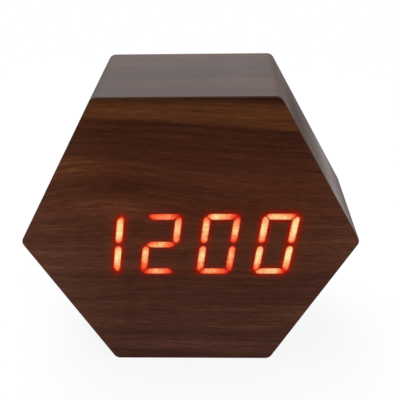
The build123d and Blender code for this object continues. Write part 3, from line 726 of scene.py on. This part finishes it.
def circuit_board():
    """Green solder mask over copper tracks and tinned pads, which keep to a grid."""
    finish = Finish("circuit_board")
    cell = finish.vector("MULTIPLY", finish.place, (1 / grid, 0, 1 / grid))
    corner = finish.vector("FLOOR", cell)
    chance = finish.node("ShaderNodeTexWhiteNoise", {"Vector": corner})
    offset = finish.vector("SUBTRACT", finish.vector("FRACTION", cell), (0.5, 0.5, 0.5))
    x, _, z = finish.split(finish.vector("MULTIPLY", offset, (grid, grid, grid)))

    def track(off):
        half = track_width / 2
        return finish.spread(finish.size(off), half - soft_edge, half + soft_edge, 1, 0)

    level = finish.math("GREATER_THAN", chance, 1 - level_track_share)
    tracks = finish.either(level, track(z), track(x))
    cloud = finish.noise(size=5, detail=2)
    mask = finish.mix(tracks, srgb(14, 70, 40), srgb(26, 100, 56))
    mask = finish.mix(finish.times(cloud, 0.3), mask, srgb(8, 46, 26))
    away = finish.math("SQRT", finish.add(finish.times(x, x), finish.times(z, z)))
    pads = finish.spread(away, pad_radius + pad_edge, pad_radius - pad_edge)
    pads = finish.times(pads, finish.math("GREATER_THAN", chance, 1 - pad_share))
    part_metal(finish, pads, mask, srgb(196, 196, 190), cloud, board_sheen)
    finish.bump(finish.add(tracks, pads), depth=0.04)
    return finish.material


pin_reach = 1.3
package_sheen = (0.55, 0.22, 0.12)


def chip_package():
    """A black epoxy package, whose pins beyond its long sides are tinned."""
    low, high = node_box("controller_chip")
    reach = (high.z - low.z) / 2 - pin_reach
    finish = Finish("chip_package")
    off = finish.size(finish.take(finish.split(finish.place)[2], (low.z + high.z) / 2))
    pins = finish.spread(off, reach - soft_edge, reach + soft_edge)
    cloud = finish.noise(size=1.5, detail=3)
    black = finish.mix(cloud, srgb(26, 26, 28), srgb(40, 40, 42))
    part_metal(finish, pins, black, srgb(188, 188, 184), cloud, package_sheen)
    finish.bump(finish.noise(size=0.2, detail=1), depth=0.01)
    return finish.material


switch_lid = 0.35
switch_sheen = (0.5, 0.25, 0.12)


def switch_housing():
    """A black housing under a thin stamped lid of bright metal."""
    lid_foot = node_box("set_switch")[1].y - switch_lid
    finish = Finish("switch_housing")
    lid = finish.spread(finish.split(finish.place)[1], lid_foot - soft_edge, lid_foot)
    cloud = finish.noise(size=2, detail=2)
    black = finish.mix(cloud, srgb(24, 24, 26), srgb(38, 38, 40))
    part_metal(finish, lid, black, srgb(176, 176, 172), cloud, switch_sheen)
    finish.bump(finish.noise(size=0.4, detail=1), depth=0.015)
    return finish.material


wire_count = 7


def ribbon():
    """A flat cable of grey wires side by side, the first of them marked red. The grey wires carry
    painted shade in the grooves between them and a painted highlight along their crowns.
    """
    low, high = node_box("ribbon_cable")
    finish = Finish("ribbon")
    across = finish.spread(finish.split(finish.place)[0], low.x, high.x, 0, wire_count)
    wave = finish.size(finish.math("SINE", finish.times(across, pi)))
    first = finish.math("LESS_THAN", across, 1.0)
    cloud = finish.noise(size=3, detail=2)
    # Painted shade and highlight: each grey wire is darker towards the grooves and lighter on its
    # crown
    grey = finish.mix(wave, srgb(104, 104, 106), srgb(168, 168, 170))
    red = finish.mix(cloud, srgb(150, 26, 22), srgb(178, 42, 34))
    finish.set("Base Color", finish.mix(first, grey, red))
    finish.sheen(0.495, cloud, extent=0.15)
    finish.bump(wave, depth=0.3)
    return finish.material


# Pieces in mesh code


def behind(place):
    """A frame at a place, in millimetres: x to the right seen from behind, y up, z rearward."""
    turn = Matrix(((-1, 0, 0), (0, 0, 1), (0, 1, 0))).to_4x4()
    return Matrix.Translation(place) @ turn


def endwise(place, side):
    """A frame at a place, in millimetres, whose z runs along the clock to the given side."""
    turn = Matrix(((0, 0, side), (side, 0, 0), (0, 1, 0))).to_4x4()
    return Matrix.Translation(place) @ turn


def round_node(name):
    """The frame at the front end of a round node, its radius and its height, from behind."""
    low, high = node_box(name)
    middle = (low + high) / 2
    return behind((middle.x, low.y, middle.z)), (high.z - low.z) / 2, high.y - low.y


def node_in_line(name, number):
    """The frame at a node's end away from a cell's nub, its radius, and its length along x."""
    low, high = node_box(name)
    cell_low, cell_high = node_box(f"cell_{number}")
    centre = (cell_low + cell_high) / 2
    side = 1 if centre.x > 0 else -1
    start = low.x if side > 0 else high.x
    at = endwise((start, centre.y, centre.z), side)
    return at, (high.z - low.z) / 2, high.x - low.x


def polar(radius, turn):
    """A point at a distance and an angle from the middle."""
    return radius * cos(turn), radius * sin(turn)


def circle(radius, height, sides):
    """The points of a level circle, or its one middle point if it has no radius."""
    turns = [2 * pi * i / sides for i in range(sides if radius else 1)]
    return [(*polar(radius, turn), height) for turn in turns]


def ring(mesh, at, points):
    """A ring of corners at the points of a frame, in millimetres."""
    return [mesh.verts.new(at @ Vector(point) * MM) for point in points]


def grow_rings(mesh, rings, material=0):
    """Joins rings of corners, each next one to the last, into faces."""
    for low, high in zip(rings, rings[1:]):
        count = max(len(low), len(high))
        for i in range(count):
            j = (i + 1) % count
            lower = [low[i % len(low)], low[j % len(low)]]
            upper = [high[j % len(high)], high[i % len(high)]]
            face = mesh.faces.new(list(dict.fromkeys(lower + upper)))
            face.material_index = material


def turned(mesh, at, profile, sides=48, material=0):
    """Turns a profile of radius and height about the z of a frame."""
    rings = [ring(mesh, at, circle(radius, height, sides)) for radius, height in profile]
    grow_rings(mesh, rings, material)


def prism(mesh, at, outline, low, high, bevel=0.0, material=0):
    """An outline raised from low to high, its far edge drawn in by a bevel."""
    middle = sum((Vector(point) for point in outline), Vector((0, 0))) / len(outline)
    rings = []
    for height, inset in ((low, 0.0), (high - bevel, 0.0), (high, bevel)):
        points = []
        for point in outline:
            away = Vector(point) - middle
            points.append((*(middle + away * (1 - inset / away.length)), height))
        rings.append(ring(mesh, at, points))
    grow_rings(mesh, rings, material)
    for end in (rings[0], rings[-1]):
        mesh.faces.new(end).material_index = material


def rounded_bar(length, width, radius, steps=5):
    """The outline of a bar with rounded corners, about its middle."""
    points = []
    for quarter, (x_side, y_side) in enumerate(((1, 1), (-1, 1), (-1, -1), (1, -1))):
        for i in range(steps + 1):
            turn = pi / 2 * (quarter + i / steps)
            x = x_side * (length / 2 - radius) + radius * cos(turn)
            points.append((x, y_side * (width / 2 - radius) + radius * sin(turn)))
    return points


def arc(radius_at, height_at, radius, start, end, steps=4):
    """The points of a profile round an arc, from one angle to another, in degrees."""
    turns = [radians(start + (end - start) * i / steps) for i in range(steps + 1)]
    return [(radius_at + radius * cos(turn), height_at + radius * sin(turn)) for turn in turns]


def settle(piece, body, replaced):
    """Puts a piece in the scene, on its body, in place of its node."""
    bpy.context.scene.collection.objects.link(piece)
    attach(piece, body)
    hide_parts(replaced)


def finished(name, mesh, body, slot, replaced, *materials, sharp_angle=35.0):
    """Makes a mesh a piece, smooth but for its sharp edges, and settles it."""
    bmesh.ops.recalc_face_normals(mesh, faces=mesh.faces)
    data = bpy.data.meshes.new(name)
    mesh.to_mesh(data)
    mesh.free()
    data.shade_smooth()
    data.set_sharp_from_angle(angle=radians(sharp_angle))
    for material in materials:
        data.materials.append(material)
    settle(bpy.data.objects.new(name, data), body, replaced)


button_rim = 0.45
button_dish = 0.3
dish_shares = (0, 0.3, 0.6, 0.8)  # of its radius, at the profile's corners
icon_height = 0.16
icon_radius = 1.15
icon_stroke = 0.38
icon_bevel = 0.1
icon_sides = 32
lug_thickness = 1.0
lug_width = 3.4
lug_corner = 1.2
stem_length = 1.5
stem_width = 3.0
stem_web = 0.9
stem_corner = 0.225


def button_cap(name, plastic, print_white):
    """A button: a dished cap with a rounded rim and a raised mark, on its lug and stem."""
    button = f"{name}_button"
    low, high = node_box(button)
    at, radius, height = round_node(button)
    lug_top = stem_length + lug_thickness
    floor = height - button_dish
    mesh = bmesh.new()
    dish = [((radius - button_rim) * share, floor + button_dish * share**2) for share in dish_shares]
    rim = arc(radius - button_rim, height - button_rim, button_rim, 90, 0)
    turned(mesh, at, dish + rim + [(radius, lug_top), (0, lug_top)])
    prism(mesh, at, rounded_bar(high.x - low.x, lug_width, lug_corner), stem_length, lug_top)
    for length, width in ((stem_width, stem_web), (stem_web, stem_width)):
        prism(mesh, at, rounded_bar(length, width, stem_corner, steps=2), 0.0, stem_length)
    if name == "set":
        inner = icon_radius - icon_stroke
        top = floor + icon_height
        mark = [(inner, floor), (inner, top), (icon_radius, top), (icon_radius, floor)]
        turned(mesh, at, mark, icon_sides, material=1)
    else:
        way = {"up": 90, "down": -90}[name]
        corners = [polar(icon_radius, radians(way + 120 * i)) for i in range(3)]
        prism(mesh, at, corners, floor, floor + icon_height, icon_bevel, material=1)
    finished(f"{name}_cap", mesh, button, "black_button", button, plastic, print_white)


head_radius = 2.2
head_height = 1.2
head_edge = 0.45
head_edge_start = 75  # degrees from level, where the crown meets the edge
head_crown = 0.25
screw_radius = 1.3
screw_core = 0.95
screw_tip = 1.6
screw_tip_share = 0.25  # of the shank's radius that is left at its tip
thread_pitch = 1.0
thread_flank_share = 1 / 3  # of the pitch
head_rings = 14
head_sides = 64
shank_sides = 20
thread_steps = 6  # rings of corners to a turn of the thread
cross_length = 2.6
cross_width = 0.6
cross_depth = 0.7
cross_slope = 0.16


def cross_cut(x, y):
    """How deep the driver's cross is at a place on a screw's head."""
    near, far = sorted((abs(x), abs(y)))
    inside = min(1, max(0, (cross_width / 2 - near) / cross_slope + 0.5))
    return cross_depth * inside * min(1, max(0, (cross_length / 2 - far) / (2 * cross_slope)))


def screw_head(mesh, at):
    """A pan head with a cross recess, its underside at zero."""
    face_radius = head_radius - head_edge
    rings = []
    for step in range(head_rings + 1):
        radius = face_radius * step / head_rings
        crown = head_height - head_crown * (radius / head_radius) ** 2
        face = circle(radius, crown, head_sides)
        rings.append(ring(mesh, at, [(x, y, z - cross_cut(x, y)) for x, y, z in face]))
    edge_height = head_height - head_crown - head_edge
    edge = arc(face_radius, edge_height, head_edge, head_edge_start, 0)
    for radius, height in [*edge, (head_radius, 0.0), (screw_core, 0.0)]:
        rings.append(ring(mesh, at, circle(radius, height, head_sides)))
    grow_rings(mesh, rings)


def screw_shank(mesh, at, length):
    """A shank with a cut thread and a tapered tip, down from zero."""
    rings = []
    steps = round(length / thread_pitch * thread_steps)
    for step in range(steps + 1):
        depth = length * step / steps
        taper = min(1, screw_tip_share + (1 - screw_tip_share) * (length - depth) / screw_tip)
        points = []
        for i in range(shank_sides):
            phase = (depth / thread_pitch - i / shank_sides) % 1
            crest = max(0, 1 - abs(phase - 0.5) / thread_flank_share)
            radius = taper * (screw_core + (screw_radius - screw_core) * crest)
            turn = 2 * pi * i / shank_sides
            points.append((*polar(radius, turn), -depth))
        rings.append(ring(mesh, at, points))
    rings.append(ring(mesh, at, [(0, 0, -length)]))
    grow_rings(mesh, rings)


def plate_screws(material):
    """The back plate's screws, one in each corner of their node's box."""
    low, high = node_box("plate_screws")
    seat = high.y - head_height
    mesh = bmesh.new()
    for x in (low.x + head_radius, high.x - head_radius):
        for z in (low.z + head_radius, high.z - head_radius):
            at = behind((x, seat, z))
            screw_head(mesh, at)
            screw_shank(mesh, at, seat - low.y)
    finished("cross_screws", mesh, "root", "black_screw", "plate_screws", material, sharp_angle=50)


nub_radius = 1.9
nub_length = 0.8
cell_edge = 0.55
sleeve_lip = 0.7
washer_radius = 4.2
washer_drop = 0.15
groove_radius = 2.6
band_share = 0.3  # of the cell's length, at its nub
stripe_width = 0.6


def battery_cell(number, sleeve, band, stripe, steel):
    """A cell in its shrunk sleeve, with a band of colour at its nub, over a crimped steel can."""
    node = f"cell_{number}"
    at, radius, length = node_in_line(node, number)
    shoulder = length - nub_length
    join = length * (1 - band_share)
    edge_radius = radius - cell_edge
    lip_radius = edge_radius - sleeve_lip
    mesh = bmesh.new()
    foot = [(lip_radius, 0.0), *arc(edge_radius, cell_edge, cell_edge, -90, 0)]
    turned(mesh, at, [*foot, (radius, join - stripe_width)], material=0)
    turned(mesh, at, [(radius, join - stripe_width), (radius, join)], material=2)
    top = arc(edge_radius, shoulder - cell_edge, cell_edge, 0, 90)
    turned(mesh, at, [(radius, join), *top, (washer_radius, shoulder)], material=1)
    base = [
        (0, washer_drop),
        (washer_radius - sleeve_lip, washer_drop),
        (washer_radius - sleeve_lip / 2, washer_drop / 3),
        (lip_radius, washer_drop / 3),
        (lip_radius, 0.0),
    ]
    turned(mesh, at, base, material=3)
    groove = shoulder - 2 * washer_drop
    crown = [
        (washer_radius, shoulder),
        (washer_radius, shoulder - washer_drop),
        (groove_radius + washer_drop, shoulder - washer_drop),
        (groove_radius, groove),
        (nub_radius + washer_drop, groove),
        (nub_radius, shoulder),
        *arc(nub_radius - washer_drop, length - washer_drop, washer_drop, 0, 90, 3),
        (0, length),
    ]
    turned(mesh, at, crown, material=3)
    finished(f"dry_cell_{number}", mesh, "root", "cell_sleeve", node, sleeve, band, stripe, steel)


wire_radius = 0.3
wire_resolution = 3
spring_base_radius = 3.4
spring_tip_radius = 2.2
spring_turns = 2.5
spring_steps = 32  # points to a turn


def contact_spring(number, material):
    """A conical spring of round wire, from its contact plate to the cell."""
    node = f"contact_spring_{number}"
    at, _, length = node_in_line(node, number)
    rise = length - 2 * wire_radius
    count = round(spring_turns * spring_steps)
    wire = bpy.data.curves.new(f"wound_spring_{number}", "CURVE")
    wire.dimensions = "3D"
    wire.bevel_depth = wire_radius * MM
    wire.bevel_resolution = wire_resolution
    wire.use_fill_caps = True
    line = wire.splines.new("POLY")
    line.points.add(count)
    for i, point in enumerate(line.points):
        share = i / count
        radius = spring_base_radius + share * (spring_tip_radius - spring_base_radius)
        turn = 2 * pi * spring_turns * share
        place = Vector((*polar(radius, turn), wire_radius + share * rise))
        point.co = (*(at @ place * MM), 1)
    wire.materials.append(material)
    settle(bpy.data.objects.new(wire.name, wire), "root", node)


buzzer_edge = 0.5
hole_radius = 1.0
hole_depth = 1.2
hole_rim = 0.3


def buzzer(material):
    """The buzzer's can, with the sound hole in its middle."""
    at, radius, height = round_node("buzzer")
    mesh = bmesh.new()
    hole = [
        (0, height - hole_depth),
        (hole_radius, height - hole_depth),
        (hole_radius, height),
        (hole_radius + hole_rim, height),
        (hole_radius + 2 * hole_rim, height - hole_rim),
    ]
    edge = arc(radius - buzzer_edge, height - hole_rim - buzzer_edge, buzzer_edge, 90, 0)
    turned(mesh, at, hole + edge + [(radius, 0), (0, 0)])
    finished("buzzer_can", mesh, "root", "black_moulding", "buzzer", material)


can_edge = 0.4
crimp_height = 1.2
crimp_depth = 0.3
can_lip = 0.5
can_drop = 0.12


def capacitor(sleeve, bare):
    """An electrolytic capacitor: a crimped can in a sleeve that leaves its end bare."""
    at, radius, height = round_node("capacitor")
    mesh = bmesh.new()
    body = [
        (0, 0),
        *arc(radius - can_edge, can_edge, can_edge, -90, 0),
        (radius, crimp_height - crimp_depth),
        (radius - crimp_depth, crimp_height),
        (radius, crimp_height + crimp_depth),
        *arc(radius - can_edge, height - can_edge, can_edge, 0, 90),
        (radius - can_edge - can_lip, height),
        (radius - can_edge - can_lip, height - can_drop),
    ]
    turned(mesh, at, body)
    turned(mesh, at, [body[-1], (0, height - can_drop)], material=1)
    finished("wound_capacitor", mesh, "root", "black_sleeve", "capacitor", sleeve, bare)


# Stage, lights and camera

stage_half = 1500.0
floor_white = 0.85  # the share of plain white in the floor as it is seen, near the clock
floor_reach = (140.0, 420.0)  # from the clock, over which that share grows to all of it
floor_colour = srgb(248, 248, 248)
sky_strength = 0.6


def seen_rays(nodes):
    """1 for what the camera, a gloss or a glass looks at, and 0 for what lights a surface."""
    rays = nodes.tree.nodes.new("ShaderNodeLightPath").outputs
    seen = nodes.math("MAXIMUM", rays["Is Camera Ray"], rays["Is Glossy Ray"])
    return nodes.math("MAXIMUM", seen, rays["Is Transmission Ray"])


def make_floor():
    """A pale paper floor. What looks at it sees it nearly white, with the clock's soft shadow."""
    mesh = bpy.data.meshes.new("floor")
    half = stage_half * MM
    corners = [(-half, -half, 0), (half, -half, 0), (half, half, 0), (-half, half, 0)]
    mesh.from_pydata(corners, [], [(0, 1, 2, 3)])
    floor = bpy.data.objects.new("floor", mesh)
    bpy.context.scene.collection.objects.link(floor)
    finish = Finish("floor_paper", Specular_IOR_Level=0.0, Emission_Color=(1, 1, 1, 1))
    away = finish.node("ShaderNodeVectorMath", {0: finish.place}, 1, operation="LENGTH")
    share = finish.spread(away, *floor_reach, floor_white, 1.0)
    share = finish.times(share, seen_rays(finish))
    finish.set("Base Color", finish.mix(share, floor_colour, (0, 0, 0, 1)))
    finish.set("Emission Strength", share)
    mesh.materials.append(finish.material)


def make_sky():
    """A white room, which lights the clock less brightly than it looks."""
    world = bpy.data.worlds.new("studio")
    bpy.context.scene.world = world
    world.use_nodes = True
    nodes = Nodes(world.node_tree)
    sky = world.node_tree.nodes["Background"].inputs
    nodes.put(sky["Color"], (1, 1, 1, 1))
    nodes.put(sky["Strength"], nodes.spread(seen_rays(nodes), 0.0, 1.0, sky_strength, 1.0))


def make_lamp(name, place, size, power, mirrored=True):
    """A round soft box that faces the clock, and may be mirrored in its satin sides."""
    data = bpy.data.lights.new(name, "AREA")
    data.shape = "DISK"
    data.size = size * MM
    data.energy = power
    lamp = bpy.data.objects.new(name, data)
    lamp.location = Vector(place) * MM
    aim = Vector((0, 0, case_centre * MM)) - lamp.location
    lamp.rotation_euler = aim.to_track_quat("-Z", "Y").to_euler()
    lamp.visible_glossy = mirrored
    bpy.context.scene.collection.objects.link(lamp)


def make_camera():
    """The camera of the photograph."""
    data = bpy.data.cameras.new("camera")
    data.lens = camera_lens
    data.shift_y = camera_shift
    camera = bpy.data.objects.new("camera", data)
    aim = Euler((radians(90 - camera_drop), 0, radians(camera_turn))).to_matrix().to_4x4()
    roll = Matrix.Rotation(radians(camera_roll), 4, "Z")
    camera.matrix_world = Matrix.Translation(Vector(camera_place) * MM) @ aim @ roll
    bpy.context.scene.collection.objects.link(camera)
    bpy.context.scene.camera = camera


def dress(material, *names):
    """Gives CAD nodes their material."""
    for name in names:
        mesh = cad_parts[name].data
        mesh.materials.clear()
        mesh.materials.append(material)


bpy.context.scene.view_settings.view_transform = "Standard"
make_camera()
make_floor()
make_sky()
make_lamp("top_light", (-150, 200, 750), size=600, power=3.2)
make_lamp("front_light", (250, -700, 400), size=600, power=3.0, mirrored=False)

dress(front_walnut(), "front_veneer")
dress(wrap_walnut(), "side_veneer")
rear = walnut("walnut_rear", "z", tone=0.48, roughness=0.5, greyness=0.5, Specular_IOR_Level=0.25)
dress(rear.material, "rear_veneer")
dress(fibreboard(), "front_board", "case_ring")

black_plate = moulded("black_plate", (30, 30, 32), 0.48, depth=0.1, mottle=0.16)
plunger_plastic = moulded("plunger_plastic", (214, 212, 204), 0.35, texture_size=0.5, mottle=0.05)
dress(black_plate, "back_plate", "battery_door", "door_latch")
dress(moulded("black_moulding", (24, 24, 25), 0.36, depth=0.015, texture_size=0.8), "power_socket")
dress(moulded("white_plastic", (226, 224, 216), 0.4, mottle=0.05), "light_guide")
dress(moulded("header_plastic", (232, 226, 208), 0.38, mottle=0.05), "front_header", "rear_header")
dress(plunger_plastic, "set_plunger", "up_plunger", "down_plunger")

dress(switch_housing(), "set_switch", "up_switch", "down_switch")
dress(circuit_board(), "display_board", "control_board")
dress(chip_package(), "controller_chip")
dress(ribbon(), "ribbon_cable")
dress(resin("lit_resin", (255, 170, 130), lit=True), "lit_bars")
dress(resin("dark_resin", (206, 200, 192)), "dark_bars", "colon_dots")

dress(speckled("diffuser_film", (214, 210, 204), (232, 230, 226), 0.6, size=1.2), "diffuser_film")
dress(speckled("light_chip", (232, 228, 214), (238, 176, 84), 0.35, size=0.5), "light_chips")
dress(speckled("red_wire", (170, 24, 18), (192, 40, 30), 0.4, size=2.0), "positive_lead")
dress(speckled("black_wire", (22, 22, 24), (36, 36, 38), 0.4, size=2.0), "negative_lead")

nickel = metal("nickel", (196, 190, 180), 0.3)
dress(metal("bright_metal", (206, 206, 202), 0.25, brushed=(2.0, 0.3, 0.3)), "crystal", "socket_pin")
dress(nickel, "positive_contact", "negative_contact", "link_contact_upper", "link_contact_lower")

cap_plastic = moulded("button_plastic", (36, 36, 38), 0.38, texture_size=0.35)
mark_print = speckled("mark_print", (150, 150, 148), (188, 188, 186), 0.5, size=0.4, depth=0.01)
for name in ("set", "up", "down"):
    button_cap(name, cap_plastic, mark_print)
plate_screws(metal("blackened_steel", (52, 52, 54), 0.38, brushed=0.4))

steel = metal("plated_steel", (204, 204, 200), 0.26, brushed=(0.4, 2.0, 2.0))
grey_sleeve = moulded("grey_sleeve", (170, 172, 172), 0.3, depth=0.01, texture_size=1.6, mottle=0.05)
green_band = moulded("green_band", (44, 104, 72), 0.3, depth=0.01, texture_size=1.6, mottle=0.08)
white_stripe = moulded("white_stripe", (226, 226, 222), 0.3, depth=0.01, texture_size=1.6, mottle=0.04)
for number in (1, 2, 3):
    battery_cell(number, grey_sleeve, green_band, white_stripe, steel)
    contact_spring(number, nickel)
buzzer(moulded("buzzer_plastic", (26, 26, 27), 0.42, texture_size=0.45))
capacitor(moulded("can_sleeve", (28, 30, 36), 0.3, depth=0.01, texture_size=1.2), steel)
